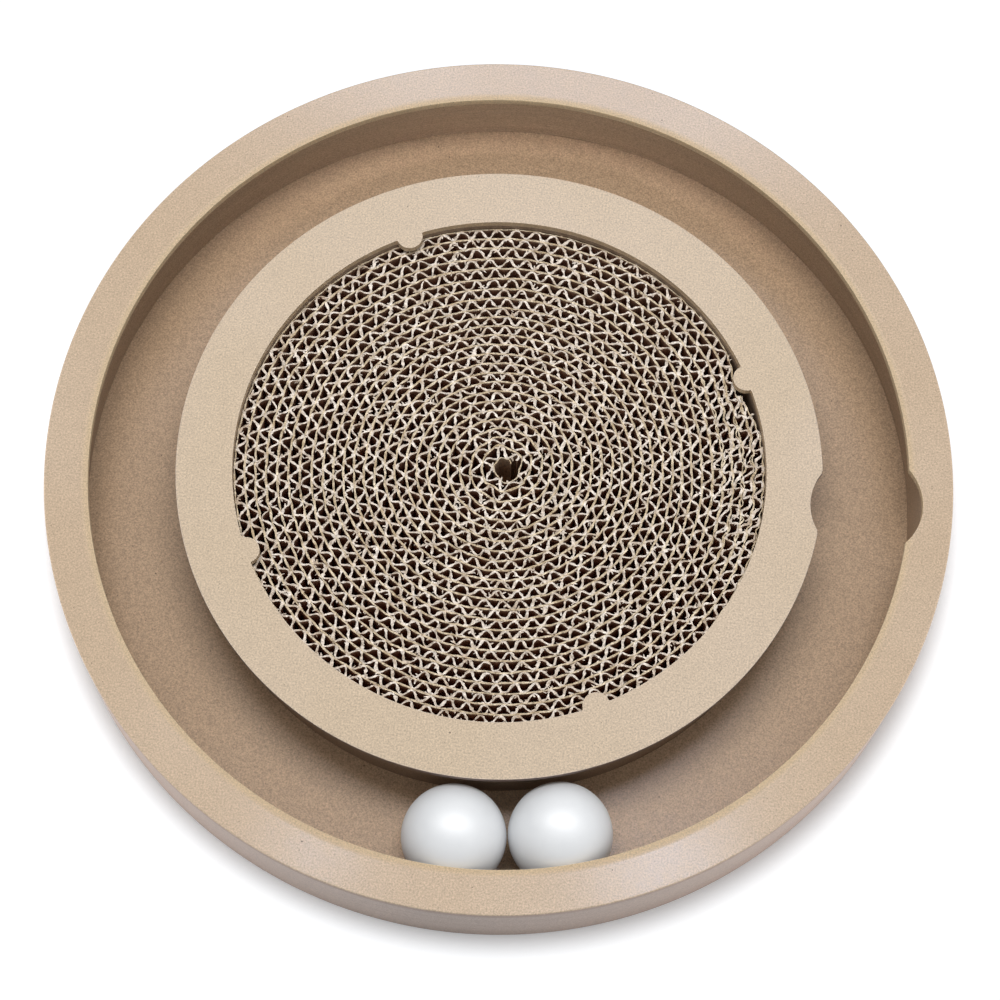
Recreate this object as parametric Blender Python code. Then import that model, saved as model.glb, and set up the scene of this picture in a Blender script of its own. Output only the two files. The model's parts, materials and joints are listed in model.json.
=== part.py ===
"""Round scratching disc: glued board rings with a ball track, a wound board pad and two balls.

The disc stands on z = 0 with its centre on the z axis. The ball entry lies on +X.
"""
import math

import bmesh
import bpy
import numpy as np
from mathutils import Matrix

# Disc and its boards, in metres
DISC_RADIUS = 0.1779
BASE_THICKNESS = 0.003
TOP_THICKNESS = 0.003        # rim and collar sheets, whose lips hang over the track
RIM_LAND = 0.0171            # width of the rim's top face
COLLAR_LAND = 0.0221         # width of the collar's top face
GLUE_LINE = 0.0003           # gap between faces that are glued or welded
WALL_LAYERS = ("lower", "upper")

# Balls, and the track that is sized round them
BALL_DIAMETER = 0.040
BALL_SHELL = 0.001
BALL_PROUD = 0.0034          # height of the crown above the top sheets
RUNNING_GAP = 0.0003         # ball to floor, to the rim lip and to the other ball
MOUTH_PLAY = 0.00473         # mouth between the lips, beyond the ball's width there
OUTER_PLAY = 0.0003          # ball to the outer wall, under the lip
INNER_PLAY = 0.00347         # ball to the inner wall, under the lip
LEFT_BALL_ANGLE = math.radians(-90)
RIM_ENTRY_ANGLE = math.radians(0.6)        # the two halves of the entry lie a little out of line
COLLAR_ENTRY_ANGLE = math.radians(-0.3)

# Tabs of the collar, which keep the pad down
TAB_RADIUS = 0.0053
TAB_COUNT = 4
TAB_ANGLE = math.radians(27.2)

# Pad, wound from one strip of corrugated board
PAD_RECESS = 0.0056          # pad top below the collar top
PAD_SEAT = 0.0003            # pad to base board
PAD_CLEARANCE = 0.0008       # pad to the wall of its well
PAD_EYE_RADIUS = 0.0046      # hole left at the centre of the winding
STRIP_CALIPER = 0.0035       # thickness of the strip
WINDING_GAP = 0.00053        # air between neighbouring turns
PAD_END_ANGLE = math.radians(13)

# Smoothness of round edges
CIRCLE_STEPS = 96
ENTRY_STEPS = 16
TAB_STEPS = 10
BALL_STEPS = 32
BALL_RINGS = 7
TURN_STEPS = 24
SMOOTH_ANGLE = math.radians(40)

# Heights: the ball's crown sets the top, and the wall boards fill what is left
ball_radius = BALL_DIAMETER / 2
floor_z = BASE_THICKNESS
ball_z = floor_z + RUNNING_GAP + ball_radius
top_z = ball_z + ball_radius - BALL_PROUD
lip_z = top_z - TOP_THICKNESS
wall_pitch = (lip_z - floor_z - GLUE_LINE) / len(WALL_LAYERS)
wall_thickness = wall_pitch - GLUE_LINE

# Radii, from the outer edge inwards
rim_lip_radius = DISC_RADIUS - RIM_LAND
ball_half_width = math.sqrt(ball_radius ** 2 - (lip_z - ball_z) ** 2)
track_radius = rim_lip_radius - RUNNING_GAP - ball_half_width
collar_lip_radius = rim_lip_radius - 2 * ball_half_width - MOUTH_PLAY
outer_wall_radius = track_radius + ball_radius + OUTER_PLAY
inner_wall_radius = track_radius - ball_radius - INNER_PLAY
well_radius = collar_lip_radius - COLLAR_LAND
pad_radius = well_radius - PAD_CLEARANCE

# The entry is a round hole as wide as the track
entry_centre = (outer_wall_radius + inner_wall_radius) / 2
entry_radius = (outer_wall_radius - inner_wall_radius) / 2


def clear_scene():
    for old in list(bpy.data.objects):
        bpy.data.objects.remove(old, do_unlink=True)


def make_material(name, colour, roughness):
    material = bpy.data.materials.new(name)
    material.use_nodes = True
    shader = material.node_tree.nodes["Principled BSDF"]
    shader.inputs["Base Color"].default_value = (*colour, 1.0)
    shader.inputs["Roughness"].default_value = roughness
    shader.inputs["Metallic"].default_value = 0.0
    return material


def add_object(name, shape, material):
    mesh = bpy.data.meshes.new(name)
    shape.to_mesh(mesh)
    shape.free()
    mesh.shade_smooth()
    mesh.set_sharp_from_angle(angle=SMOOTH_ANGLE)
    mesh.materials.append(material)
    piece = bpy.data.objects.new(name, mesh)
    bpy.context.scene.collection.objects.link(piece)
    return piece


def add_pivot(name, angle, parent=None):
    pivot = bpy.data.objects.new(name, None)
    pivot.rotation_euler = (0, 0, angle)
    pivot.parent = parent
    bpy.context.scene.collection.objects.link(pivot)
    return pivot


def arc(centre, radius, start, end, steps):
    """Points from start to just before end, counter-clockwise where end is the larger angle."""
    angles = [start + (end - start) * step / steps for step in range(steps)]
    return [(centre[0] + radius * math.cos(a), centre[1] + radius * math.sin(a)) for a in angles]


def circle(radius):
    return arc((0, 0), radius, 0, 2 * math.pi, CIRCLE_STEPS)


def bitten_circle(radius, bite_angles, bite_centre, bite_radius, bite_steps, outwards):
    """A circle broken by smaller round bites whose centres lie at bite_centre from the axis."""
    cosine = (radius ** 2 + bite_centre ** 2 - bite_radius ** 2) / (2 * radius * bite_centre)
    reach = math.acos(cosine)
    corner = math.atan2(radius * math.sin(reach), radius * math.cos(reach) - bite_centre)
    sweep = 2 * corner if outwards else 2 * corner - 2 * math.pi
    spacing = 2 * math.pi / len(bite_angles)
    plain_steps = round(CIRCLE_STEPS / len(bite_angles) * (1 - 2 * reach / spacing))
    points = []
    for angle in bite_angles:
        centre = (bite_centre * math.cos(angle), bite_centre * math.sin(angle))
        points += arc(centre, bite_radius, angle - corner, angle - corner + sweep, bite_steps)
        points += arc((0, 0), radius, angle + reach, angle + spacing - reach, plain_steps)
    return points


def cut_board(name, outlines, bottom, thickness, material):
    """A flat board: the outlines are its edge and its holes."""
    shape = bmesh.new()
    for outline in outlines:
        corners = [shape.verts.new((x, y, bottom)) for x, y in outline]
        for start, end in zip(corners, corners[1:] + corners[:1]):
            shape.edges.new((start, end))
    bmesh.ops.triangle_fill(shape, use_beauty=True, edges=shape.edges[:])
    raised = bmesh.ops.extrude_face_region(shape, geom=shape.faces[:])
    upper = [item for item in raised["geom"] if isinstance(item, bmesh.types.BMVert)]
    bmesh.ops.translate(shape, vec=(0, 0, thickness), verts=upper)
    bmesh.ops.recalc_face_normals(shape, faces=shape.faces[:])
    return add_object(name, shape, material)


def strip_radius(angle):
    """Middle of the wound strip: angle 0 is its outer end, and it runs backwards to the eye."""
    pitch = STRIP_CALIPER + WINDING_GAP
    return pad_radius - STRIP_CALIPER / 2 + pitch * angle / (2 * math.pi)


def wound_strip_edges():
    """Outer and inner edge of the strip, from its outer end to the eye, on the same angles each turn."""
    pitch = STRIP_CALIPER + WINDING_GAP
    turns = (pad_radius - PAD_EYE_RADIUS - STRIP_CALIPER) / pitch
    step = 2 * math.pi / TURN_STEPS
    angles = [-step * k for k in range(int(turns * TURN_STEPS) + 1)]
    angles.append(-2 * math.pi * turns)
    angles = np.array(angles)
    radius = strip_radius(angles)
    direction = np.stack([np.cos(angles + PAD_END_ANGLE), np.sin(angles + PAD_END_ANGLE)], axis=1)
    outer = (radius + STRIP_CALIPER / 2)[:, None] * direction
    inner = (radius - STRIP_CALIPER / 2)[:, None] * direction
    return outer, inner


def least_winding_gap(outer, inner):
    """Least distance from a turn's inner edge to the outer edge of the next turn in."""
    near = outer[TURN_STEPS:]
    far = inner[:len(near)]
    halfway_near = (near[1:] + near[:-1]) / 2
    halfway_far = (far[1:] + far[:-1]) / 2
    at_corners = np.linalg.norm(far - near, axis=1).min()
    between = np.linalg.norm(halfway_far - halfway_near, axis=1).min()
    return min(at_corners, between)


def make_pad(material):
    outer, inner = wound_strip_edges()
    print("scratch_pad turns:", round((len(outer) - 2) / TURN_STEPS, 2))
    print("scratch_pad least gap between turns, mm:", round(1000 * least_winding_gap(outer, inner), 3))
    bottom = floor_z + PAD_SEAT
    height = top_z - PAD_RECESS - bottom
    shape = bmesh.new()
    outer_edge = [shape.verts.new((x, y, bottom)) for x, y in outer]
    inner_edge = [shape.verts.new((x, y, bottom)) for x, y in inner]
    for k in range(len(outer_edge) - 1):
        shape.faces.new((outer_edge[k], outer_edge[k + 1], inner_edge[k + 1], inner_edge[k]))
    raised = bmesh.ops.extrude_face_region(shape, geom=shape.faces[:])
    upper = [item for item in raised["geom"] if isinstance(item, bmesh.types.BMVert)]
    bmesh.ops.translate(shape, vec=(0, 0, height), verts=upper)
    bmesh.ops.recalc_face_normals(shape, faces=shape.faces[:])
    return add_object("scratch_pad", shape, material)


def make_half_shell(name, side, pivot, material):
    """Half of a hollow ball, turned about its own upright axis; side is 1 for the top half, -1 below."""
    rim = GLUE_LINE / 2
    shape = bmesh.new()
    arcs = []
    for radius in (ball_radius, ball_radius - BALL_SHELL):
        low = math.asin(rim / radius)
        rises = [low + (math.pi / 2 - low) * k / BALL_RINGS for k in range(BALL_RINGS + 1)]
        arcs.append([shape.verts.new((radius * math.cos(a), 0, side * radius * math.sin(a))) for a in rises])
    outside, inside = arcs
    profile = outside[::-1] + inside
    edges = [shape.edges.new(pair) for pair in zip(profile, profile[1:])]
    bmesh.ops.spin(shape, geom=profile + edges, cent=(0, 0, 0), axis=(0, 0, 1), dvec=(0, 0, 0),
                   angle=2 * math.pi, steps=BALL_STEPS, use_merge=True)
    bmesh.ops.remove_doubles(shape, verts=shape.verts[:], dist=GLUE_LINE / 10)
    bmesh.ops.recalc_face_normals(shape, faces=shape.faces[:])
    bmesh.ops.transform(shape, matrix=Matrix.Translation((track_radius, 0, ball_z)), verts=shape.verts[:])
    half = add_object(name, shape, material)
    half.parent = pivot
    return half


def main():
    clear_scene()
    base_fibre = make_material("base fibreboard", (0.376, 0.258, 0.166), 0.75)
    wall_fibre = make_material("wall fibreboard", (0.279, 0.193, 0.130), 0.8)
    top_fibre = make_material("top fibreboard", (0.631, 0.491, 0.337), 0.6)
    corrugated = make_material("corrugated board", (0.552, 0.445, 0.314), 0.9)
    white_plastic = make_material("white plastic", (0.84, 0.85, 0.87), 0.3)

    cut_board("base_board", [circle(DISC_RADIUS)], 0, BASE_THICKNESS, base_fibre)

    outer_wall = [circle(DISC_RADIUS), circle(outer_wall_radius)]
    inner_wall = [circle(inner_wall_radius), circle(well_radius)]
    for level, layer in enumerate(WALL_LAYERS):
        bottom = floor_z + GLUE_LINE + level * wall_pitch
        cut_board("outer_wall_" + layer, outer_wall, bottom, wall_thickness, wall_fibre)
        cut_board("inner_wall_" + layer, inner_wall, bottom, wall_thickness, wall_fibre)

    tab_angles = [TAB_ANGLE + 2 * math.pi * k / TAB_COUNT for k in range(TAB_COUNT)]
    rim_mouth = bitten_circle(rim_lip_radius, [RIM_ENTRY_ANGLE], entry_centre, entry_radius,
                              ENTRY_STEPS, True)
    collar_mouth = bitten_circle(collar_lip_radius, [COLLAR_ENTRY_ANGLE], entry_centre, entry_radius,
                                 ENTRY_STEPS, False)
    collar_well = bitten_circle(well_radius, tab_angles, well_radius, TAB_RADIUS, TAB_STEPS, False)
    cut_board("rim_sheet", [circle(DISC_RADIUS), rim_mouth], lip_z, TOP_THICKNESS, top_fibre)
    cut_board("collar_sheet", [collar_mouth, collar_well], lip_z, TOP_THICKNESS, top_fibre)

    make_pad(corrugated)

    touching = 2 * math.asin((BALL_DIAMETER + RUNNING_GAP) / (2 * track_radius))
    print("angle between touching balls, deg:", round(math.degrees(touching), 3))
    left_pivot = add_pivot("left_ball_orbit", LEFT_BALL_ANGLE)
    right_pivot = add_pivot("right_ball_orbit", touching, left_pivot)
    for ball, pivot in (("left_ball", left_pivot), ("right_ball", right_pivot)):
        make_half_shell(ball + "_top_half", 1, pivot, white_plastic)
        make_half_shell(ball + "_bottom_half", -1, pivot, white_plastic)
    bpy.context.view_layer.update()


main()
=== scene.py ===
import json
import math
import random

import bmesh
import bpy
from mathutils import Matrix, Quaternion, Vector, noise

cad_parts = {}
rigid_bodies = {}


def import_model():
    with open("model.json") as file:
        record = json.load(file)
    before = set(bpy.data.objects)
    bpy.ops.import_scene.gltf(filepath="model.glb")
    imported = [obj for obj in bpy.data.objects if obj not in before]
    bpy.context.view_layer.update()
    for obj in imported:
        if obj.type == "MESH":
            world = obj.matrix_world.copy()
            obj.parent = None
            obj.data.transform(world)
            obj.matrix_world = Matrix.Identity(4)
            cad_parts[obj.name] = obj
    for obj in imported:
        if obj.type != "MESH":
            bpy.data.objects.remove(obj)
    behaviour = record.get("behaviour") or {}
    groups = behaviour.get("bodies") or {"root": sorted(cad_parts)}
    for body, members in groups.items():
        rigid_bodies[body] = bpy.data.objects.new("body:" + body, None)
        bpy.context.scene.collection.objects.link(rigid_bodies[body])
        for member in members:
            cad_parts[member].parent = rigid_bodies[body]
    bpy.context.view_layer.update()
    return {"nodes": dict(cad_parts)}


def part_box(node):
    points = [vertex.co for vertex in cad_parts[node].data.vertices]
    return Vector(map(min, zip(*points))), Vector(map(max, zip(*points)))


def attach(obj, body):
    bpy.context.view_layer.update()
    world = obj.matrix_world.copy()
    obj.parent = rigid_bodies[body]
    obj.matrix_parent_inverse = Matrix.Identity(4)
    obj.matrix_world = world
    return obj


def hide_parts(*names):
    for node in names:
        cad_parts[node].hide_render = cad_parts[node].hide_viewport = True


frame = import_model()
mm = 0.001
sameSpot = 0.001 * mm                # vertices closer than this are one
sameCircle = 0.01 * mm               # an arris this close to a circle lies on it
scene = bpy.context.scene
noise.seed_set(41)                   # without a seed, vector noise changes from run to run


# Small helpers

def linear(hexColour):
    parts = [int(hexColour[k:k + 2], 16) / 255 for k in (1, 3, 5)]
    return (*[p / 12.92 if p <= 0.04045 else ((p + 0.055) / 1.055) ** 2.4 for p in parts], 1.0)


def addNode(tree, kind, values=None, links=None, **settings):
    node = tree.nodes.new(kind)
    for name, value in settings.items():
        setattr(node, name, value)
    for socket, value in (values or {}).items():
        node.inputs[socket].default_value = value
    for socket, source in (links or {}).items():
        tree.links.new(source, node.inputs[socket])
    return node


def newMaterial(name):
    material = bpy.data.materials.new(name)
    material.use_nodes = True
    tree = material.node_tree
    tree.nodes.clear()
    return material, tree


def finishPiece(name, bm, material, body, slotName, *nodes, smoothAngle=35, flatFaces=False):
    mesh = bpy.data.meshes.new(name)
    bm.to_mesh(mesh)
    bm.free()
    mesh.shade_smooth()
    mesh.set_sharp_from_angle(angle=math.radians(smoothAngle))
    mesh.materials.append(material)
    piece = bpy.data.objects.new(name, mesh)
    scene.collection.objects.link(piece)
    if flatFaces:                    # large faces stay flat up to their eased arrises
        for polygon in mesh.polygons:
            polygon.use_smooth = abs(polygon.normal.z) < 0.999
        piece.modifiers.new("flatFaces", "WEIGHTED_NORMAL").keep_sharp = True
    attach(piece, body)
    if nodes:
        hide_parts(*nodes)


def ringRadii(node):
    reach = [math.hypot(v.co.x, v.co.y) for v in frame["nodes"][node].data.vertices]
    return min(reach), max(reach)


def soften(value, low, high):
    share = min(1.0, max(0.0, (value - low) / (high - low)))
    return share * share * (3 - 2 * share)


def angleOff(angle, centre):
    return (angle - centre + math.pi) % (2 * math.pi) - math.pi


# Ring sizes, read off the frame

discRadius = ringRadii("base_board")[1]
outerWallRadius = ringRadii("outer_wall_lower")[0]
rimLipRadius = ringRadii("rim_sheet")[0]
tabTipRadius, collarLipRadius = ringRadii("collar_sheet")
wellRadius, innerWallRadius = ringRadii("inner_wall_lower")
padRadius = ringRadii("scratch_pad")[1]
padLow, padHigh = (corner.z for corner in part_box("scratch_pad"))


# Camera: the photograph's view, fitted to the ring edges

view = {
    "lens": 87.68,                   # lens and sensor in millimetres
    "sensor": 36,
    "elevation": 70.01,
    "turn": 4.3,                     # the disc lies turned by this much in the picture
    "roll": 2.611,
    "distance": 948.75 * mm,
    "aim": (0.75 * mm, -15.49 * mm),  # on the top face
}


def makeCamera():
    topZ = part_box("rim_sheet")[1].z
    rise = math.radians(view["elevation"])
    spin = Matrix.Rotation(math.radians(view["turn"]), 3, "Z")
    aim = spin @ Vector((*view["aim"], topZ))
    back = spin @ Vector((0, -math.cos(rise), math.sin(rise)))
    data = bpy.data.cameras.new("photoCamera")
    data.lens = view["lens"]
    data.sensor_width = view["sensor"]
    camera = bpy.data.objects.new("photoCamera", data)
    camera.rotation_mode = "QUATERNION"
    camera.location = aim + back * view["distance"]
    tilt = Quaternion((0, 0, 1), math.radians(view["roll"]))
    camera.rotation_quaternion = (-back).to_track_quat("-Z", "Y") @ tilt
    scene.collection.objects.link(camera)
    scene.camera = camera


makeCamera()
print("camera set")


# Fibreboard

boardSurface = {
    "fibre": 0.7 * mm,               # grain
    "mottle": 3.5 * mm,
    "clouds": 70 * mm,
    "sawMark": 0.7 * mm,             # apart in height, long along the turn
    "sandedAndShaded": (3 * mm, 2 * mm),      # in from the outside, between sawn board and the sanded outside edge, which is painted darker as painted shade
    "footShadeRadii": (151 * mm, 163 * mm),  # radii over which the track floor is painted darker towards the outer wall's foot, as painted shade
    "thinCoat": (1 * mm, 3.2 * mm),  # out from a lip, between bare and sealed board
    "pore": {"spacing": 1.8 * mm, "largest": 0.25 * mm},
    "bark": {"spacing": 5.5 * mm, "largest": 0.36 * mm, "share": 0.8, "colour": "#4A3A2C"},
    "bareRough": 0.6,
    "sandedRough": 0.45,
}
boardLooks = {
    # arris colours hold painted light: the pale lipArris and collar arris are painted highlights, the rim's
    # darker outer arris a painted shade line
    "sandedFibreboard": {"face": "#CCB397", "pale": "#D3BCA3", "lip": "#D1B896", "arris": "#B9A48E",
                         "lipArris": "#D9C49F", "sawn": "#DAC4A2", "sandedAndShaded": "#83695A", "rough": 0.19,
                         "grit": 0.36},
    "paleFibreboard": {"face": "#D3BEA3", "pale": "#D7C3AC", "arris": "#E8D6C1", "sawn": "#C6AF90",
                       "sandedAndShaded": "#6B5750", "rough": 0.45, "grit": 0.38},
    "sawnFibreboard": {"face": "#A98F78", "arris": "#8E8078", "sawn": "#AA927A", "sandedAndShaded": "#958073",
                       "rough": 0.5, "grit": 0.45},
    # the inner wall is one flat brown, painted darker than the outer wall's board as painted shade under the
    # collar's lip and in the well
    "shadedBoreFibreboard": {"face": "#8A7562", "arris": "#8A7562", "sawn": "#8A7562", "sandedAndShaded": "#7C645A",
                       "rough": 0.6, "grit": 0.45},
    # footShade: the track floor is painted darker towards the outer wall's foot, as painted shade
    "trackFibreboard": {"face": "#B89C7F", "pale": "#BCA185", "arris": "#8E8078", "sawn": "#8D8078",
                        "sandedAndShaded": "#958073", "rough": 0.3, "grit": 0.5, "footShade": 0.88},
}


def addFlecks(tree, place, ground, spacing, largest, share):
    cells = addNode(tree, "ShaderNodeTexVoronoi", {"Scale": 1 / spacing, "Randomness": 1.0},
                    {"Vector": place}, feature="F1")
    luck = addNode(tree, "ShaderNodeSeparateColor", links={0: cells.outputs["Color"]}).outputs[0]
    size = addNode(tree, "ShaderNodeMapRange", {"From Min": 0.35, "To Max": largest / spacing},
                   {"Value": luck}).outputs[0]
    inside = addNode(tree, "ShaderNodeMath", None, {0: cells.outputs["Distance"], 1: size},
                     operation="LESS_THAN").outputs[0]
    fleck = addNode(tree, "ShaderNodeMath", {1: share}, {0: inside}, operation="MULTIPLY").outputs[0]
    return addNode(tree, "ShaderNodeMix", {7: linear(boardSurface["bark"]["colour"])}, {0: fleck, 6: ground},
                   data_type="RGBA").outputs[2]


def fibreboard(name, outerRadius=discRadius, lipRadius=0.0):
    # Medium-density fibreboard: pressed wood fibre, sanded and sealed. The eye gets an even beige with a fine
    # salt-and-pepper grain, stray dark bark flecks, a satin sheen, warm sawn edges inside and a greyer,
    # smoother sanded edge round the outside, which is also painted darker as painted shade. Some arrises
    # carry a painted highlight or a painted shade line, and the track floor is painted darker towards the
    # outer wall's foot.
    look = boardLooks[name]
    grit = look["grit"]
    material, tree = newMaterial(name)
    place = addNode(tree, "ShaderNodeTexCoord").outputs["Object"]
    axes = addNode(tree, "ShaderNodeSeparateXYZ", links={0: place})
    normal = addNode(tree, "ShaderNodeNewGeometry").outputs["Normal"]
    facing = addNode(tree, "ShaderNodeSeparateXYZ", links={0: normal})
    upright = addNode(tree, "ShaderNodeMath", links={0: facing.outputs["Z"]}, operation="ABSOLUTE").outputs[0]
    onFace = addNode(tree, "ShaderNodeMapRange", {"From Min": 0.9, "From Max": 0.985},
                     {"Value": upright}).outputs[0]
    onEdge = addNode(tree, "ShaderNodeMapRange", {"From Min": 0.5, "From Max": 0.15},
                     {"Value": upright}).outputs[0]
    level = addNode(tree, "ShaderNodeVectorMath", {1: (1, 1, 0)}, {0: place},
                    operation="MULTIPLY").outputs[0]
    reach = addNode(tree, "ShaderNodeVectorMath", None, {0: level}, operation="LENGTH").outputs["Value"]
    sawnTo, sandedFrom = (outerRadius - depth for depth in boardSurface["sandedAndShaded"])
    outside = addNode(tree, "ShaderNodeMapRange", {"From Min": sawnTo, "From Max": sandedFrom},
                      {"Value": reach}).outputs[0]
    onOutside = addNode(tree, "ShaderNodeMath", None, {0: outside, 1: onEdge},
                        operation="MULTIPLY").outputs[0]

    # fibre grain, with mottling and clouds under it
    grain = addNode(tree, "ShaderNodeTexNoise",
                    {"Scale": 1 / boardSurface["fibre"], "Detail": 3, "Roughness": 0.7},
                    {"Vector": place}).outputs["Fac"]
    mottle = addNode(tree, "ShaderNodeTexNoise",
                     {"Scale": 1 / boardSurface["mottle"], "Detail": 2, "Roughness": 0.5},
                     {"Vector": place}).outputs["Fac"]
    clouds = addNode(tree, "ShaderNodeTexNoise",
                     {"Scale": 1 / boardSurface["clouds"], "Detail": 1, "Roughness": 0.4},
                     {"Vector": place}).outputs["Fac"]

    # saw and cutter marks run round the edges
    turn = addNode(tree, "ShaderNodeMath", links={0: axes.outputs["Y"], 1: axes.outputs["X"]},
                   operation="ARCTAN2").outputs[0]
    height = addNode(tree, "ShaderNodeMath", {1: 1 / boardSurface["sawMark"]}, {0: axes.outputs["Z"]},
                     operation="MULTIPLY").outputs[0]
    cut = addNode(tree, "ShaderNodeCombineXYZ", links={"X": turn, "Z": height}).outputs[0]
    streak = addNode(tree, "ShaderNodeTexNoise", {"Scale": 1.0, "Detail": 2, "Roughness": 0.6},
                     {"Vector": cut}).outputs["Fac"]
    edgeShade = addNode(tree, "ShaderNodeMapRange",
                        {"From Min": 0.3, "From Max": 0.7, "To Min": 0.88, "To Max": 1.1},
                        {"Value": streak}).outputs[0]
    # the outside edge is darker and greyer than the face: partly the sanded finish, partly painted shade on
    # the outer sides and on the collar's lip
    bareEdge = addNode(tree, "ShaderNodeMix", {6: linear(look["sawn"]), 7: linear(look["sandedAndShaded"])},
                       {0: outside}, data_type="RGBA").outputs[2]
    edgeColour = addNode(tree, "ShaderNodeMix", {0: 1.0}, {6: bareEdge, 7: edgeShade},
                         data_type="RGBA", blend_type="MULTIPLY").outputs[2]

    # pale clouds on the face, a thin seal coat beside a lip, and painted shade darkening the track floor
    # towards the outer wall's foot
    palePatch = addNode(tree, "ShaderNodeMapRange", {"From Min": 0.45, "From Max": 0.75, "To Max": 0.7},
                        {"Value": clouds}).outputs[0]
    faceColour = addNode(tree, "ShaderNodeMix",
                         {6: linear(look["face"]), 7: linear(look.get("pale", look["face"]))},
                         {0: palePatch}, data_type="RGBA").outputs[2]
    bareTo, sealedFrom = (lipRadius + width for width in boardSurface["thinCoat"])
    sealed = addNode(tree, "ShaderNodeMapRange", {"From Min": bareTo, "From Max": sealedFrom},
                     {"Value": reach}).outputs[0]
    faceColour = addNode(tree, "ShaderNodeMix", {6: linear(look.get("lip", look["face"]))},
                         {0: sealed, 7: faceColour}, data_type="RGBA").outputs[2]
    # painted shade: the face colour darkens between these radii, towards the outer wall's foot
    unshadedTo, shadedFrom = boardSurface["footShadeRadii"]
    foot = addNode(tree, "ShaderNodeMapRange",
                   {"From Min": unshadedTo, "From Max": shadedFrom, "To Min": 1.0,
                    "To Max": look.get("footShade", 1.0)},
                   {"Value": reach}).outputs[0]
    faceColour = addNode(tree, "ShaderNodeMix", {0: 1.0}, {6: faceColour, 7: foot},
                         data_type="RGBA", blend_type="MULTIPLY").outputs[2]
    # painted light on the arrises: a pale painted highlight on the rim's lip and round the collar, a darker
    # painted shade line on the rim's outer arris
    arris = addNode(tree, "ShaderNodeMix",
                    {6: linear(look.get("lipArris", look["arris"])), 7: linear(look["arris"])},
                    {0: outside}, data_type="RGBA").outputs[2]
    sideColour = addNode(tree, "ShaderNodeMix", None, {0: onEdge, 6: arris, 7: edgeColour},
                         data_type="RGBA").outputs[2]
    board = addNode(tree, "ShaderNodeMix", None, {0: onFace, 6: sideColour, 7: faceColour},
                    data_type="RGBA").outputs[2]

    grainShade = addNode(tree, "ShaderNodeMapRange",
                         {"From Min": 0.25, "From Max": 0.75, "To Min": 1 - grit, "To Max": 1 + grit},
                         {"Value": grain}).outputs[0]
    mottleShade = addNode(tree, "ShaderNodeMapRange",
                          {"From Min": 0.3, "From Max": 0.7, "To Min": 0.97, "To Max": 1.03},
                          {"Value": mottle}).outputs[0]
    shade = addNode(tree, "ShaderNodeMath", None, {0: grainShade, 1: mottleShade},
                    operation="MULTIPLY").outputs[0]
    grained = addNode(tree, "ShaderNodeMix", {0: 1.0}, {6: board, 7: shade},
                      data_type="RGBA", blend_type="MULTIPLY").outputs[2]

    # dark pores, deeper on a grittier board, and stray bark flecks
    pore, bark = boardSurface["pore"], boardSurface["bark"]
    pored = addFlecks(tree, place, grained, pore["spacing"], pore["largest"], 1.1 * grit)
    flecked = addFlecks(tree, place, pored, bark["spacing"], bark["largest"], bark["share"])

    sealRough = addNode(tree, "ShaderNodeMapRange",
                        {"To Min": look["rough"] - 0.05, "To Max": look["rough"] + 0.05},
                        {"Value": mottle}).outputs[0]
    faceRough = addNode(tree, "ShaderNodeMix", {2: boardSurface["bareRough"]}, {0: sealed, 3: sealRough},
                        data_type="FLOAT").outputs[0]
    rough = addNode(tree, "ShaderNodeMix", {3: boardSurface["sandedRough"]}, {0: onOutside, 2: faceRough},
                    data_type="FLOAT").outputs[0]
    bump = addNode(tree, "ShaderNodeBump", {"Strength": 0.12, "Distance": 0.05 * mm}, {"Height": grain})
    shader = addNode(tree, "ShaderNodeBsdfPrincipled", {"IOR": 1.5},
                     {"Base Color": flecked, "Roughness": rough, "Normal": bump.outputs[0]})
    addNode(tree, "ShaderNodeOutputMaterial", links={"Surface": shader.outputs[0]})
    return material


rimBoard = fibreboard("sandedFibreboard", lipRadius=rimLipRadius)
collarBoard = fibreboard("paleFibreboard", outerRadius=collarLipRadius)
wallBoard = fibreboard("sawnFibreboard")
boreBoard = fibreboard("shadedBoreFibreboard")
baseBoard = fibreboard("trackFibreboard")
print("fibreboard made")


# Boards: rings with eased arrises, and two top sheets with the entry and the tabs cut into them

boards = {
    "glueGap": 0.3 * mm,             # between the frame's boards
    "hairline": 0.015 * mm,          # what shows of a glue line
    "wallSteps": 360,
    "sheetSteps": 1080,
    "outerRound": 0.5 * mm,          # rounded top arris of the rim
    "collarRound": 0.4 * mm,
    "eased": 0.2 * mm,               # lips and the well's edge
    "seamEased": 0.05 * mm,          # arrises sanded flush at a glue line
    "footEased": 0.4 * mm,
    "tabAngle": math.radians(27.2),
    "tabCount": 4,
    "rimEntry": math.radians(0.6),   # the two halves of the entry lie a little out of line
    "collarEntry": math.radians(-0.3),
}
entryCentre = (outerWallRadius + innerWallRadius) / 2
entryRadius = (outerWallRadius - innerWallRadius) / 2
tabRadius = wellRadius - tabTipRadius


def spinProfile(bm, profile, edges, steps):
    bmesh.ops.spin(bm, geom=profile + edges, cent=(0, 0, 0), axis=(0, 0, 1), dvec=(0, 0, 0),
                   angle=2 * math.pi, steps=steps, use_merge=True)
    bmesh.ops.remove_doubles(bm, verts=bm.verts[:], dist=sameSpot)
    bmesh.ops.recalc_face_normals(bm, faces=bm.faces[:])


def spinRing(inner, outer, low, high, steps):
    bm = bmesh.new()
    corners = [bm.verts.new((x, 0, z)) for x, z in ((inner, low), (outer, low), (outer, high), (inner, high))]
    sides = list(zip(corners, corners[1:] + corners[:1]))
    if inner == 0:
        sides.pop()                  # a solid disc has no bore
    spinProfile(bm, corners, [bm.edges.new(side) for side in sides], steps)
    return bm


def arrises(bm, radius, z):
    found = []
    for edge in bm.edges:
        if all(abs(v.co.z - z) < sameCircle and abs(v.co.to_2d().length - radius) < sameCircle
               for v in edge.verts):
            found.append(edge)
    return found


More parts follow.
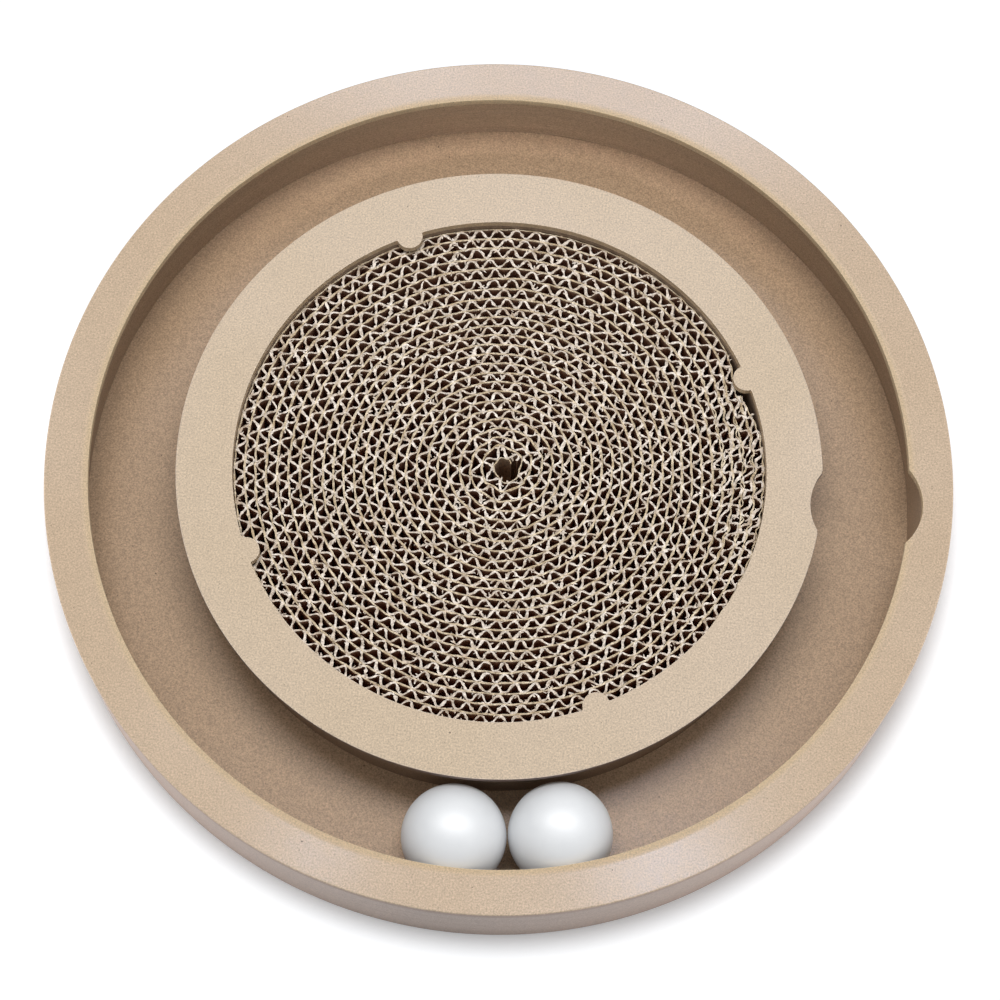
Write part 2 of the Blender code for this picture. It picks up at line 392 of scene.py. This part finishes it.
def ringArrises(bm, inner, outer, low, high):
    corners = {"outerLow": (outer, low), "outerHigh": (outer, high),
               "innerLow": (inner, low), "innerHigh": (inner, high)}
    return {key: arrises(bm, radius, z) for key, (radius, z) in corners.items() if radius > 0}


def ease(bm, edges, width, segments):
    bmesh.ops.bevel(bm, geom=edges, offset=width, offset_type="OFFSET", segments=segments, profile=0.5,
                    affect="EDGES", material=-1, clamp_overlap=True)


def boardHeights(node):
    # all boards but the lowest reach down to a hairline above the board below
    low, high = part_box(node)
    drop = boards["glueGap"] - boards["hairline"] if low.z > boards["glueGap"] else 0.0
    return low.z - drop, high.z


def makeRing(node, inner, outer, material, slotName, widths):
    low, high = boardHeights(node)
    bm = spinRing(inner, outer, low, high, boards["wallSteps"])
    for key, edges in ringArrises(bm, inner, outer, low, high).items():
        ease(bm, edges, widths[key], 2)
    finishPiece(node + "_board", bm, material, "base", slotName, node, flatFaces=True)


def biteCorner(radius, biteCentre, biteRadius):
    cosine = (radius ** 2 + biteCentre ** 2 - biteRadius ** 2) / (2 * radius * biteCentre)
    return math.acos(cosine)


def cutSheetEdge(ringVerts, radius, centreRadius, biteRadius, angles, side, step):
    # Moves a ring of vertices onto a circle broken by round bites (side 1 outwards, -1 inwards)
    reach = biteCorner(radius, centreRadius, biteRadius)
    halfArc = math.asin(min(1.0, centreRadius * math.sin(reach) / biteRadius))
    for v in ringVerts:
        angle = math.atan2(v.co.y, v.co.x)
        distance = radius
        for centre in angles:
            off = angleOff(angle, centre)
            if abs(abs(off) - reach) <= step / 2:
                angle = centre + math.copysign(reach, off)
                off = math.copysign(reach, off)
            if abs(off) < reach + 1e-6:
                across = biteRadius * math.sin(halfArc * off / reach)   # even steps along the bite
                evenOff = math.asin(across / centreRadius)
                root = math.sqrt(max(0.0, biteRadius ** 2 - across ** 2))
                distance = centreRadius * math.cos(evenOff) + side * root
                angle = centre + evenOff
        v.co.x = distance * math.cos(angle)
        v.co.y = distance * math.sin(angle)


def makeSheet(node, inner, outer, innerBites, outerBites, topRound, material):
    low, high = boardHeights(node)
    steps = boards["sheetSteps"]
    bm = spinRing(inner, outer, low, high, steps)
    edges = ringArrises(bm, inner, outer, low, high)
    middle = (inner + outer) / 2
    innerVerts = [v for v in bm.verts if v.co.to_2d().length < middle]
    outerVerts = [v for v in bm.verts if v.co.to_2d().length > middle]
    for verts, radius, bites in ((innerVerts, inner, innerBites), (outerVerts, outer, outerBites)):
        if bites:
            cutSheetEdge(verts, radius, *bites, 2 * math.pi / steps)
    ease(bm, edges["outerHigh"], topRound, 4)
    ease(bm, edges["innerHigh"], boards["eased"], 2)
    ease(bm, edges["innerLow"], boards["seamEased"], 1)
    ease(bm, edges["outerLow"], boards["seamEased"], 1)
    finishPiece(node + "_board", bm, material, "base", "top_fibreboard", node, flatFaces=True)


def makeBoards():
    seam = boards["seamEased"]
    flush = {"outerLow": seam, "outerHigh": seam, "innerLow": seam, "innerHigh": seam}
    foot = flush | {"outerLow": boards["footEased"]}
    makeRing("base_board", 0, discRadius, baseBoard, "base_fibreboard", foot)
    for layer in ("lower", "upper"):
        makeRing("outer_wall_" + layer, outerWallRadius, discRadius, wallBoard, "wall_fibreboard", flush)
        makeRing("inner_wall_" + layer, wellRadius, innerWallRadius, boreBoard, "wall_fibreboard", flush)
    tabAngles = [boards["tabAngle"] + 2 * math.pi * k / boards["tabCount"] for k in range(boards["tabCount"])]
    rimBite = (entryCentre, entryRadius, [boards["rimEntry"]], 1)
    collarBite = (entryCentre, entryRadius, [boards["collarEntry"]], -1)
    tabs = (wellRadius, tabRadius, tabAngles, -1)
    makeSheet("rim_sheet", rimLipRadius, discRadius, rimBite, None, boards["outerRound"], rimBoard)
    makeSheet("collar_sheet", wellRadius, collarLipRadius, tabs, collarBite, boards["collarRound"],
              collarBoard)


makeBoards()
print("boards made")


# Pad: one strip of single-wall board, two liners with a fluted sheet between them, wound round an eye

pad = {
    "pitch": 4.03 * mm,              # one turn of the strip
    "caliper": 3.5 * mm,             # of the plain strip that the frame holds
    "flute": 7.06 * mm,              # from crest to crest
    "fluteFill": 0.95,               # share of the room between the liners
    "liner": 0.25 * mm,
    "linerBurr": 0.07 * mm,          # how far the saw spread the paper's edge to either side
    "linerTear": 0.2 * mm,           # how far the saw pulled it up
    "medium": 0.36 * mm,
    "mediumBurr": 0.15 * mm,
    "mediumTear": 0.25 * mm,
    "tornFrom": 0.6,                 # share of the height above which the fluting is torn about
    "linerSeat": 0.12 * mm,          # middle of a liner, in from the turn's boundary
    "turns": 23.99,
    "spread": 0.25 * mm,             # the last turn springs out towards the wall of its well
    "wallHold": 7 * mm,              # how far in from the wall the layers are held still
    "wallGive": 0.5 * mm,            # the gap that the last turn may lean into before the wall
    "slipLever": 4 * mm,             # added to a radius, so that a slip beside the eye stays small
    "endAngle": math.radians(25),
    "endCrush": math.radians(13),    # of the last turn, pressed thin towards its end
    "endPress": 0.35,
    "stepArc": 12 / 360,             # share of a turn in which a squeezed turn drops under the next
    "tightTurns": 9,
    "eyeShift": (2.2 * mm, 1.3 * mm),   # the winding's eye lies off the middle
    "eyeSqueeze": 0.3,               # and is squeezed narrow
    "eyeReach": 9 * mm,
    "tangleReach": 17 * mm,
    "footSway": 0.35,                # of the sway at the cut edge, what the lower edge has
    "draw": 0.07 * mm,               # how far a flute draws its liner in
    "buckledDraw": 0.75 * mm,
    "buckledShare": 0.7,
    "buckleAngle": math.radians(7),  # the last turns beside the entry have buckled
    "buckleSpread": math.radians(24),
    "buckleDepth": (24 * mm, 10 * mm),   # in from the wall, where it starts and where it is full
    "fold": 0.9 * mm,                # how far a buckled flute leans over, and rolls
    "foldRoll": 0.6 * mm,
    "sawWave": 9 * mm,               # the saw cut is uneven
    "sawDepth": 0.35 * mm,
    "sawDrop": 0.25 * mm,
    "burrSize": 1.1 * mm,
    "burrUneven": 2.6,
    "burrAlongX": 1.9,               # the saw ran along X
    "linerStep": 1.2 * mm,
    "flutePoints": 12,
    "levels": (0.0, 0.965, 1.0),
}

# how the layers bulge and lean together: a wave's length, its push, its lane of noise, how far the lane
# shifts up the strip, and the share that is left at the wall
sways = {
    "broad": {"length": 26 * mm, "push": 0.55 * mm, "lane": 0.0, "lean": 0.0, "atWall": 0.0},
    "close": {"length": 9 * mm, "push": 0.4 * mm, "lane": 4.0, "lean": 0.6, "atWall": 0.2},
    "fine": {"length": 4.2 * mm, "push": 0.36 * mm, "lane": 6.0, "lean": 0.6, "atWall": 0.3},
    "crumple": {"length": 4.4 * mm, "push": 1.5 * mm, "lane": 9.0, "lean": 0.3, "atWall": 0.4},
    "tangle": {"length": 6 * mm, "push": 1.9 * mm, "lane": 15.0, "lean": 0.4, "atWall": 1.0},
}

# what changes along the strip: a wave's length, its lane of noise and how far it goes
drifts = {
    "flutePlace": (31 * mm, 2.0, 1.0),   # in radians of a flute
    "fluteBunch": (43 * mm, 5.0, 0.5),
    "fluteHeight": (9 * mm, 8.0, 0.08),
    "fluteBow": (8.3 * mm, 13.0, 1.0 * mm),
    "fluteTear": (3.9 * mm, 11.0, 0.6 * mm),
    "foldRoll": (12 * mm, 21.0, 0.8 * mm),
    "linerDraw": (12 * mm, 27.0, 1.0),
    "linerFray": (2.3 * mm, 17.0, 0.12 * mm),
    "sawTear": (1.1 * mm, 3.0, 1.0),
}
outerMiddle = padRadius - pad["caliper"] / 2 + pad["spread"]
growth = pad["pitch"] / (2 * math.pi)
wholeTurn = 2 * math.pi * pad["turns"]
innerMiddle = outerMiddle - growth * wholeTurn
stripLength = innerMiddle * wholeTurn + growth * wholeTurn ** 2 / 2

kraft = {
    # painted shade: the cell walls are painted darker with depth under the cut; near the eye they keep a
    # paler colour
    "lip": "#D2B49B",                # the walls of a cell, just under the cut
    "wall": "#B78F73",
    "deepShade": "#AC7257",
    "eye": "#B89E84",
    "lipDepth": 1.6,                 # in millimetres under the cut
    "deepDepth": 8.0,
    "eyeReach": (7.5 * mm, 6 * mm),
    "fibre": 0.8 * mm,
    "lots": 3.5 * mm,                # patches of paler and darker paper
}


def kraftPaper(name, sawnDark, sawnPale):
    # Kraft paper of the corrugated board, sawn across: pale fuzzy cut edges over brown walls
    # that are painted darker down in the cells, as painted shade where the cells fall off to near black.
    material, tree = newMaterial(name)
    place = addNode(tree, "ShaderNodeTexCoord").outputs["Object"]
    normal = addNode(tree, "ShaderNodeNewGeometry").outputs["True Normal"]
    facing = addNode(tree, "ShaderNodeSeparateXYZ", links={0: normal})
    sawn = addNode(tree, "ShaderNodeMapRange", {"From Min": 0.25, "From Max": 0.6},
                   {"Value": facing.outputs["Z"]}).outputs[0]
    below = addNode(tree, "ShaderNodeAttribute", attribute_name="below").outputs["Fac"]   # in millimetres
    # painted shade: these masks darken the cell walls with depth under the cut
    lip = addNode(tree, "ShaderNodeMapRange", {"From Max": kraft["lipDepth"]}, {"Value": below}).outputs[0]
    cell = addNode(tree, "ShaderNodeMapRange",
                   {"From Min": kraft["lipDepth"], "From Max": kraft["deepDepth"]},
                   {"Value": below}).outputs[0]
    fromEye = addNode(tree, "ShaderNodeVectorMath", {1: (*pad["eyeShift"], 0)}, {0: place},
                      operation="SUBTRACT").outputs[0]
    level = addNode(tree, "ShaderNodeVectorMath", {1: (1, 1, 0)}, {0: fromEye},
                    operation="MULTIPLY").outputs[0]
    reach = addNode(tree, "ShaderNodeVectorMath", None, {0: level}, operation="LENGTH").outputs["Value"]
    farFrom, nearTo = kraft["eyeReach"]
    byEye = addNode(tree, "ShaderNodeMapRange", {"From Min": farFrom, "From Max": nearTo},
                    {"Value": reach}).outputs[0]
    fibre = addNode(tree, "ShaderNodeTexNoise",
                    {"Scale": 1 / kraft["fibre"], "Detail": 3, "Roughness": 0.6},
                    {"Vector": place}).outputs["Fac"]
    lots = addNode(tree, "ShaderNodeTexNoise",
                   {"Scale": 1 / kraft["lots"], "Detail": 2, "Roughness": 0.6},
                   {"Vector": place}).outputs["Fac"]
    wall = addNode(tree, "ShaderNodeMix", {6: linear(kraft["lip"]), 7: linear(kraft["wall"])}, {0: lip},
                   data_type="RGBA").outputs[2]
    wall = addNode(tree, "ShaderNodeMix", {7: linear(kraft["deepShade"])}, {0: cell, 6: wall},
                   data_type="RGBA").outputs[2]
    wall = addNode(tree, "ShaderNodeMix", {7: linear(kraft["eye"])}, {0: byEye, 6: wall},
                   data_type="RGBA").outputs[2]
    lot = addNode(tree, "ShaderNodeMapRange", {"From Min": 0.32, "From Max": 0.68},
                  {"Value": lots}).outputs[0]
    edge = addNode(tree, "ShaderNodeMix", {6: linear(sawnDark), 7: linear(sawnPale)}, {0: lot},
                   data_type="RGBA").outputs[2]
    paper = addNode(tree, "ShaderNodeMix", None, {0: sawn, 6: wall, 7: edge}, data_type="RGBA").outputs[2]
    shade = addNode(tree, "ShaderNodeMapRange",
                    {"From Min": 0.34, "From Max": 0.66, "To Min": 0.62, "To Max": 1.36},
                    {"Value": fibre}).outputs[0]
    colour = addNode(tree, "ShaderNodeMix", {0: 1.0}, {6: paper, 7: shade},
                     data_type="RGBA", blend_type="MULTIPLY").outputs[2]
    bump = addNode(tree, "ShaderNodeBump", {"Strength": 0.4, "Distance": 0.08 * mm}, {"Height": fibre})
    shader = addNode(tree, "ShaderNodeBsdfPrincipled", {"Roughness": 0.9, "IOR": 1.45},
                     {"Base Color": colour, "Normal": bump.outputs[0]})
    addNode(tree, "ShaderNodeOutputMaterial", links={"Surface": shader.outputs[0]})
    return material


linerPaper = kraftPaper("kraftLiner", "#BFA988", "#EFDFC4")
mediumPaper = kraftPaper("kraftMedium", "#C6B39E", "#FBF0E4")
print("paper made")


def drift(name, along, laneShift=0.0):
    length, lane, most = drifts[name]
    lane += laneShift
    return most * noise.noise(Vector((along / length, lane, 0.37 * lane)))


def turnRadius(turnsIn):
    # middle of the strip: a plain spiral round the eye that is squeezed into whole rings at the wall
    level = math.ceil(turnsIn) - 1
    stair = level + soften(turnsIn - level, 1 - pad["stepArc"], 1)
    tight = 1 - soften(turnsIn, 0, pad["tightTurns"])
    return outerMiddle - pad["pitch"] * (turnsIn + tight * (stair - turnsIn))


def turnsFromWall(along):
    theta = (math.sqrt(innerMiddle ** 2 + 2 * growth * along) - innerMiddle) / growth
    return (wholeTurn - theta) / (2 * math.pi)


def buckle(radius, angle):
    window = math.exp(-(angleOff(angle, pad["buckleAngle"]) / pad["buckleSpread"]) ** 4)
    start, full = (padRadius - depth for depth in pad["buckleDepth"])
    return window * soften(radius, start, full)


def buckledThere(along):
    turnsIn = turnsFromWall(along)
    return buckle(turnRadius(turnsIn), pad["endAngle"] - 2 * math.pi * turnsIn)


def windPoint(along, across, rise, slip=0.0):
    # A point of the strip: along it, across its thickness, and up from its lower edge
    turnsIn = turnsFromWall(along)
    radius = turnRadius(turnsIn)
    if across < 0:
        room = radius - turnRadius(turnsIn + 1)
    else:
        room = turnRadius(turnsIn - 1) - radius if turnsIn >= 1 else pad["pitch"]
    pressed = pad["endPress"] * soften(1 - 2 * math.pi * turnsIn / pad["endCrush"], 0, 1)
    radius += across * room / pad["pitch"] - pressed * (2 * across + pad["pitch"])
    angle = pad["endAngle"] - 2 * math.pi * turnsIn + slip / (radius + pad["slipLever"])

    x, y = radius * math.cos(angle), radius * math.sin(angle)
    x *= 1 - pad["eyeSqueeze"] * math.exp(-(radius / pad["eyeReach"]) ** 2)
    slack = (1 - radius / padRadius) ** 2
    x += pad["eyeShift"][0] * slack
    y += pad["eyeShift"][1] * slack

    # the layers sway most at the cut edge
    loose = pad["footSway"] + (1 - pad["footSway"]) * rise
    inside = 1 - soften(radius, padRadius - pad["wallHold"], padRadius)
    byEye = math.exp(-(radius / pad["tangleReach"]) ** 2)
    shares = {"broad": loose, "close": loose, "fine": loose, "crumple": buckle(radius, angle),
              "tangle": byEye * loose}
    pushes = []
    for name, share in shares.items():
        wave = sways[name]
        free = wave["atWall"] + (1 - wave["atWall"]) * inside
        spot = Vector((x / wave["length"], y / wave["length"], wave["lane"] + wave["lean"] * rise))
        pushes.append(noise.noise_vector(spot) * (wave["push"] * share * free))
    x += sum(push.x for push in pushes)
    y += sum(push.y for push in pushes)
    shrink = min(1.0, (padRadius + pad["wallGive"]) / math.hypot(x, y))      # the well's wall holds it in
    return Vector((x * shrink, y * shrink, padLow + (padHigh - padLow) * rise))


def sawnEdge(point, along, rise, tear):
    # uneven saw cut, and paper that the saw pulled up here and there
    if rise == 1.0:
        wave = noise.noise(Vector((point.x / pad["sawWave"], point.y / pad["sawWave"], 7.0)))
        point.z += pad["sawDepth"] * wave - pad["sawDrop"]
        point.z += tear * drift("sawTear", along)
    return point


def paperStrip(pieces):
    bm = bmesh.new()
    bmesh.ops.create_grid(bm, x_segments=pieces, y_segments=len(pad["levels"]) - 1, size=0.5)
    return bm, bm.verts.layers.float.new("below")


def stripShare(v):
    level = round((v.co.y + 0.5) * (len(pad["levels"]) - 1))
    return v.co.x + 0.5, pad["levels"][level]


def markDepth(v, layer, rise):
    v[layer] = (1 - rise) * (padHigh - padLow) / mm


def thicken(bm, thickness, below, burr):
    # gives the sheet its two sides, and unevenly spreads the edge that the saw pulled across
    bmesh.ops.recalc_face_normals(bm, faces=bm.faces[:])
    for v in bm.verts:
        v.co += v.normal * thickness / 2
    bmesh.ops.solidify(bm, geom=bm.faces[:], thickness=thickness)
    bmesh.ops.recalc_face_normals(bm, faces=bm.faces[:])
    for v in bm.verts:
        if v[below] < 0.01:
            outward = v.normal.to_2d().normalized()
            uneven = 1 + pad["burrUneven"] * noise.noise(v.co / pad["burrSize"])
            v.co += Vector((outward.x * pad["burrAlongX"], outward.y, 0)) * burr * uneven


def flutePhase(along):
    # the flutes bunch up and spread by turns
    phase = 2 * math.pi * along / pad["flute"] + drift("flutePlace", along)
    return phase + drift("fluteBunch", along) * math.sin(phase)


def linerPoint(along, rise, side):
    # the flutes draw the liner in between their crests, and far more where they have buckled
    seat = side * (pad["pitch"] / 2 - pad["linerSeat"])
    buckled = buckledThere(along) * (pad["buckledShare"] + drift("linerDraw", along))
    drawn = (pad["draw"] + pad["buckledDraw"] * buckled) * math.sin(flutePhase(along))
    frayed = rise * drift("linerFray", along, side)
    return sawnEdge(windPoint(along, seat + drawn + frayed, rise), along, rise, pad["linerTear"])


def makeLiner(name, side):
    bm, below = paperStrip(int(stripLength / pad["linerStep"]))
    for v in bm.verts:
        share, rise = stripShare(v)
        v.co = linerPoint(share * stripLength, rise, side)
        markDepth(v, below, rise)
    thicken(bm, pad["liner"], below, pad["linerBurr"])
    finishPiece(name, bm, linerPaper, "base", "corrugated_board", smoothAngle=60)


def fluteWave(phase):
    return (math.sin(phase) + math.sin(3 * phase) / 14) / (1 - 1 / 14)      # round crests, straight flanks


def flutePoint(along, rise):
    clear = pad["pitch"] / 2 - pad["linerSeat"] - pad["liner"] / 2 - pad["medium"] / 2
    phase = flutePhase(along)
    wave = fluteWave(phase) * (pad["fluteFill"] + drift("fluteHeight", along))
    bow = (1 - wave ** 2) * drift("fluteBow", along)
    torn = soften(rise, pad["tornFrom"], 1.0) * drift("fluteTear", along)
    fold = pad["fold"] * wave - (pad["foldRoll"] + drift("foldRoll", along)) * math.sin(2 * phase)
    point = windPoint(along, clear * wave, rise, bow + torn + buckledThere(along) * fold)
    return sawnEdge(point, along, rise, pad["mediumTear"])


def makeFluting(name):
    flutes = stripLength / pad["flute"]
    bm, below = paperStrip(int(flutes * pad["flutePoints"]))
    for v in bm.verts:
        share, rise = stripShare(v)
        v.co = flutePoint(share * stripLength, rise)
        markDepth(v, below, rise)
    thicken(bm, pad["medium"], below, pad["mediumBurr"])
    finishPiece(name, bm, mediumPaper, "base", "corrugated_board", "scratch_pad", smoothAngle=70)


frays = {
    "tufts": 30,
    "count": 150,                    # in a tuft
    "length": (0.8 * mm, 2.0 * mm),
    "width": (0.3, 0.65),            # shares of the length
    "taper": 0.6,
    "curl": 0.9,
    "tilt": 0.35,                    # in radians, up or down
    "sunk": (0.1 * mm, 0.5 * mm),    # under the edge that it hangs on
    "paper": 0.14 * mm,
}


def makeTuft(chance):
    bm = bmesh.new()
    for k in range(frays["count"]):
        along = stripLength * chance.random()
        foot = flutePoint(along, 1.0) if k % 3 else linerPoint(along, 1.0, 1)
        length = chance.uniform(*frays["length"])
        width = length * chance.uniform(*frays["width"])
        curl = chance.uniform(-frays["curl"], frays["curl"])
        flake = bmesh.ops.create_grid(bm, x_segments=3, y_segments=1, size=0.5)["verts"]
        for v in flake:
            t = v.co.x + 0.5
            taper = 1 - frays["taper"] * t
            v.co = Vector((t * length, v.co.y * width * taper, curl * length * t * t / 2))
        turn = Matrix.Rotation(chance.uniform(0, 2 * math.pi), 4, "Z")
        tilt = Matrix.Rotation(-chance.uniform(-frays["tilt"], frays["tilt"]), 4, "Y")
        foot.z -= chance.uniform(*frays["sunk"])
        bmesh.ops.transform(bm, matrix=Matrix.Translation(foot) @ turn @ tilt, verts=flake)
    mesh = bpy.data.meshes.new("tuft")
    bm.to_mesh(mesh)
    bm.free()
    return mesh


def makeFrays(name):
    # torn paper curls that still hang on the sawn edges
    chance = random.Random(41)
    bm = bmesh.new()
    for _ in range(frays["tufts"]):
        tuft = makeTuft(chance)
        bm.from_mesh(tuft)
        bpy.data.meshes.remove(tuft)
    thicken(bm, frays["paper"], bm.verts.layers.float.new("below"), 0.0)
    finishPiece(name, bm, mediumPaper, "base", "corrugated_board", smoothAngle=60)


makeLiner("pad_inner_liner", -1)
makeLiner("pad_outer_liner", 1)
makeFluting("pad_fluting")
makeFrays("pad_frays")
print("pad wound:", pad["turns"], "turns,", round(stripLength, 2), "m of strip")


# Balls: two half shells each, turned and welded

ball = {
    "shell": 1.0 * mm,
    "steps": 72,
    "rings": 20,
    "seam": 0.02 * mm,
    "seamEased": 0.08 * mm,
    "dull": "#D5D7DA",
    "clean": "#DADCDE",
    "scuff": 4 * mm,
}


def ballPlastic():
    # Moulded polypropylene: clean cool white with a soft gloss and a trace of scuffs.
    material, tree = newMaterial("mouldedPolypropylene")
    place = addNode(tree, "ShaderNodeTexCoord").outputs["Object"]
    scuff = addNode(tree, "ShaderNodeTexNoise", {"Scale": 1 / ball["scuff"], "Detail": 4, "Roughness": 0.6},
                    {"Vector": place}).outputs["Fac"]
    tint = addNode(tree, "ShaderNodeMix", {6: linear(ball["dull"]), 7: linear(ball["clean"])}, {0: scuff},
                   data_type="RGBA").outputs[2]
    rough = addNode(tree, "ShaderNodeMapRange",
                    {"From Min": 0.3, "From Max": 0.7, "To Min": 0.46, "To Max": 0.54},
                    {"Value": scuff}).outputs[0]
    shader = addNode(tree, "ShaderNodeBsdfPrincipled", {"IOR": 1.49},
                     {"Base Color": tint, "Roughness": rough})
    addNode(tree, "ShaderNodeOutputMaterial", links={"Surface": shader.outputs[0]})
    return material


def makeHalfShell(node, side, body, material):
    low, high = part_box(node)
    radius = (high.x - low.x) / 2
    pole = high.z if side > 0 else low.z
    centre = Vector(((low.x + high.x) / 2, (low.y + high.y) / 2, pole - side * radius))
    rises = [math.pi / 2 * k / ball["rings"] for k in range(ball["rings"] + 1)]
    bm = bmesh.new()
    arcs = []
    for reach in (radius, radius - ball["shell"]):
        arcs.append([bm.verts.new((reach * math.cos(a), 0, side * max(reach * math.sin(a), ball["seam"])))
                     for a in rises])
    outside, inside = arcs
    profile = outside[::-1] + inside
    spinProfile(bm, profile, [bm.edges.new(pair) for pair in zip(profile, profile[1:])], ball["steps"])
    ease(bm, arrises(bm, radius, side * ball["seam"]), ball["seamEased"], 2)
    bmesh.ops.translate(bm, vec=centre, verts=bm.verts[:])
    finishPiece(node + "_shell", bm, material, body, "white_plastic", node)


whitePlastic = ballPlastic()
for ballBody in ("left_ball", "right_ball"):
    makeHalfShell(ballBody + "_top_half", 1, ballBody, whitePlastic)
    makeHalfShell(ballBody + "_bottom_half", -1, ballBody, whitePlastic)
print("balls made")


# Studio: pale floor, a broad softbox overhead, small lamps that lift the outer sides, the far wall
# and the balls, cards that draw the sheen on the boards, and a lamp of the floor's own that draws the shadow

coolCard = "#BED6FF"                 # daylight
studio = {
    "floor": 3.0,                    # half the floor's side, in metres
    "paper": "#F4F7FA",
    "world": 0.38,
    "lift": 0.14,                    # what the camera sees on top of the lit floor
    "lamps": {
        "key": {"watts": 5.72, "size": 0.62, "depth": 0.38, "place": (-0.015, 0.1, 1.0), "rays": "diffuse"},
        "leftSide": {"watts": 4.3, "size": 0.06, "place": (-0.78, -0.15, 0.03), "lights": "sides",
                     "rays": "diffuse"},
        "rightSide": {"watts": 3.7, "size": 0.06, "place": (0.78, -0.15, 0.03), "lights": "sides",
                      "rays": "diffuse"},
        "farWall": {"watts": 0.042, "size": 0.1, "place": (-0.01, -0.42, 0.71), "aim": (-0.01, 0.165, 0.02),
                    "beam": 22, "lights": "track", "rays": "diffuse"},
        "ballRight": {"watts": 1.15, "size": 0.5, "place": (0.5, -0.12, 0.4), "lights": "balls",
                      "rays": "diffuse"},
        "ballLeft": {"watts": 0.65, "size": 0.5, "place": (-0.5, -0.12, 0.4), "lights": "balls",
                     "rays": "diffuse"},
        "ballSheen": {"watts": 34.0, "size": 1.5, "depth": 0.35, "place": (0.0, 0.16, 1.0), "lights": "balls",
                      "rays": "glossy"},
        "floorKey": {"watts": 15.4, "size": 0.42, "place": (-0.045, -0.01, 1.5), "lights": "floor"},
        "rightCard": {"watts": 0.175, "size": 0.08, "place": (0.112, -0.028, 0.62), "lights": "boards",
                      "rays": "glossy", "colour": coolCard},
        "leftCard": {"watts": 0.07, "size": 0.04, "place": (-0.1, -0.047, 0.62), "lights": "boards",
                     "rays": "glossy", "colour": coolCard},
        "backCard": {"watts": 4.0, "size": 0.9, "depth": 0.36, "place": (0.0, 0.79, 0.9), "lights": "boards",
                     "rays": "glossy", "colour": coolCard},
    },
    # what a lamp is shown to, or spared, by parts of the pieces' names
    "reach": {
        "object": ("EXCLUDE", ["studioFloor"]),
        "boards": ("EXCLUDE", ["studioFloor", "_shell"]),
        "balls": ("INCLUDE", ["_shell"]),
        "track": ("INCLUDE", ["base_board_board", "outer_wall"]),
        "sides": ("INCLUDE", ["base_board_board", "outer_wall", "rim_sheet"]),
        "floor": ("INCLUDE", ["studioFloor"]),
    },
}


def seenRays(tree):
    rays = addNode(tree, "ShaderNodeLightPath")
    seen = addNode(tree, "ShaderNodeMath", None,
                   {0: rays.outputs["Is Camera Ray"], 1: rays.outputs["Is Glossy Ray"]}, operation="MAXIMUM")
    seen = addNode(tree, "ShaderNodeMath", None,
                   {0: seen.outputs[0], 1: rays.outputs["Is Transmission Ray"]}, operation="MAXIMUM")
    return seen.outputs[0]


def makeFloor():
    material, tree = newMaterial("studioPaper")
    lift = addNode(tree, "ShaderNodeMath", {1: studio["lift"]}, {0: seenRays(tree)}, operation="MULTIPLY")
    paper = addNode(tree, "ShaderNodeBsdfDiffuse", {"Color": linear(studio["paper"])})
    glow = addNode(tree, "ShaderNodeEmission", {"Color": (1, 1, 1, 1)}, {"Strength": lift.outputs[0]})
    both = addNode(tree, "ShaderNodeAddShader", None, {0: paper.outputs[0], 1: glow.outputs[0]})
    addNode(tree, "ShaderNodeOutputMaterial", links={"Surface": both.outputs[0]})
    bm = bmesh.new()
    bmesh.ops.create_grid(bm, x_segments=1, y_segments=1, size=studio["floor"])
    mesh = bpy.data.meshes.new("studioFloor")
    bm.to_mesh(mesh)
    bm.free()
    mesh.materials.append(material)
    floor = bpy.data.objects.new("studioFloor", mesh)
    scene.collection.objects.link(floor)


def makeSky():
    world = bpy.data.worlds.new("studioWorld")
    world.use_nodes = True
    tree = world.node_tree
    tree.nodes.clear()
    strength = addNode(tree, "ShaderNodeMapRange", {"To Min": studio["world"], "To Max": 1.0},
                       {"Value": seenRays(tree)})
    sky = addNode(tree, "ShaderNodeBackground", {"Color": (1, 1, 1, 1)}, {"Strength": strength.outputs[0]})
    addNode(tree, "ShaderNodeOutputWorld", links={"Surface": sky.outputs[0]})
    scene.world = world


def makeLamp(name, numbers):
    data = bpy.data.lights.new(name, "AREA")
    data.shape = "ELLIPSE"
    data.size = numbers["size"]
    data.size_y = numbers.get("depth", numbers["size"])
    data.energy = numbers["watts"]
    data.color = linear(numbers.get("colour", "#FFFFFF"))[:3]
    data.spread = math.radians(numbers.get("beam", 180))
    lamp = bpy.data.objects.new(name, data)
    lamp.location = numbers["place"]
    lamp.rotation_mode = "QUATERNION"
    aim = Vector(numbers.get("aim", (0, 0, 0))) - Vector(numbers["place"])
    lamp.rotation_quaternion = aim.to_track_quat("-Z", "Y")
    scene.collection.objects.link(lamp)
    lamp.visible_camera = False
    if numbers.get("rays") == "diffuse":
        lamp.visible_glossy = False
    if numbers.get("rays") == "glossy":
        lamp.visible_diffuse = False
    state, parts = studio["reach"][numbers.get("lights", "object")]
    reach = bpy.data.collections.new(name + "Reach")
    for piece in scene.objects:
        if piece.type == "MESH" and any(part in piece.name for part in parts):
            reach.objects.link(piece)
    for linked in reach.collection_objects:
        linked.light_linking.link_state = state
    lamp.light_linking.receiver_collection = reach


makeFloor()
makeSky()
for lampName, lampNumbers in studio["lamps"].items():
    makeLamp(lampName, lampNumbers)
scene.view_settings.view_transform = "Standard"
print("studio set")
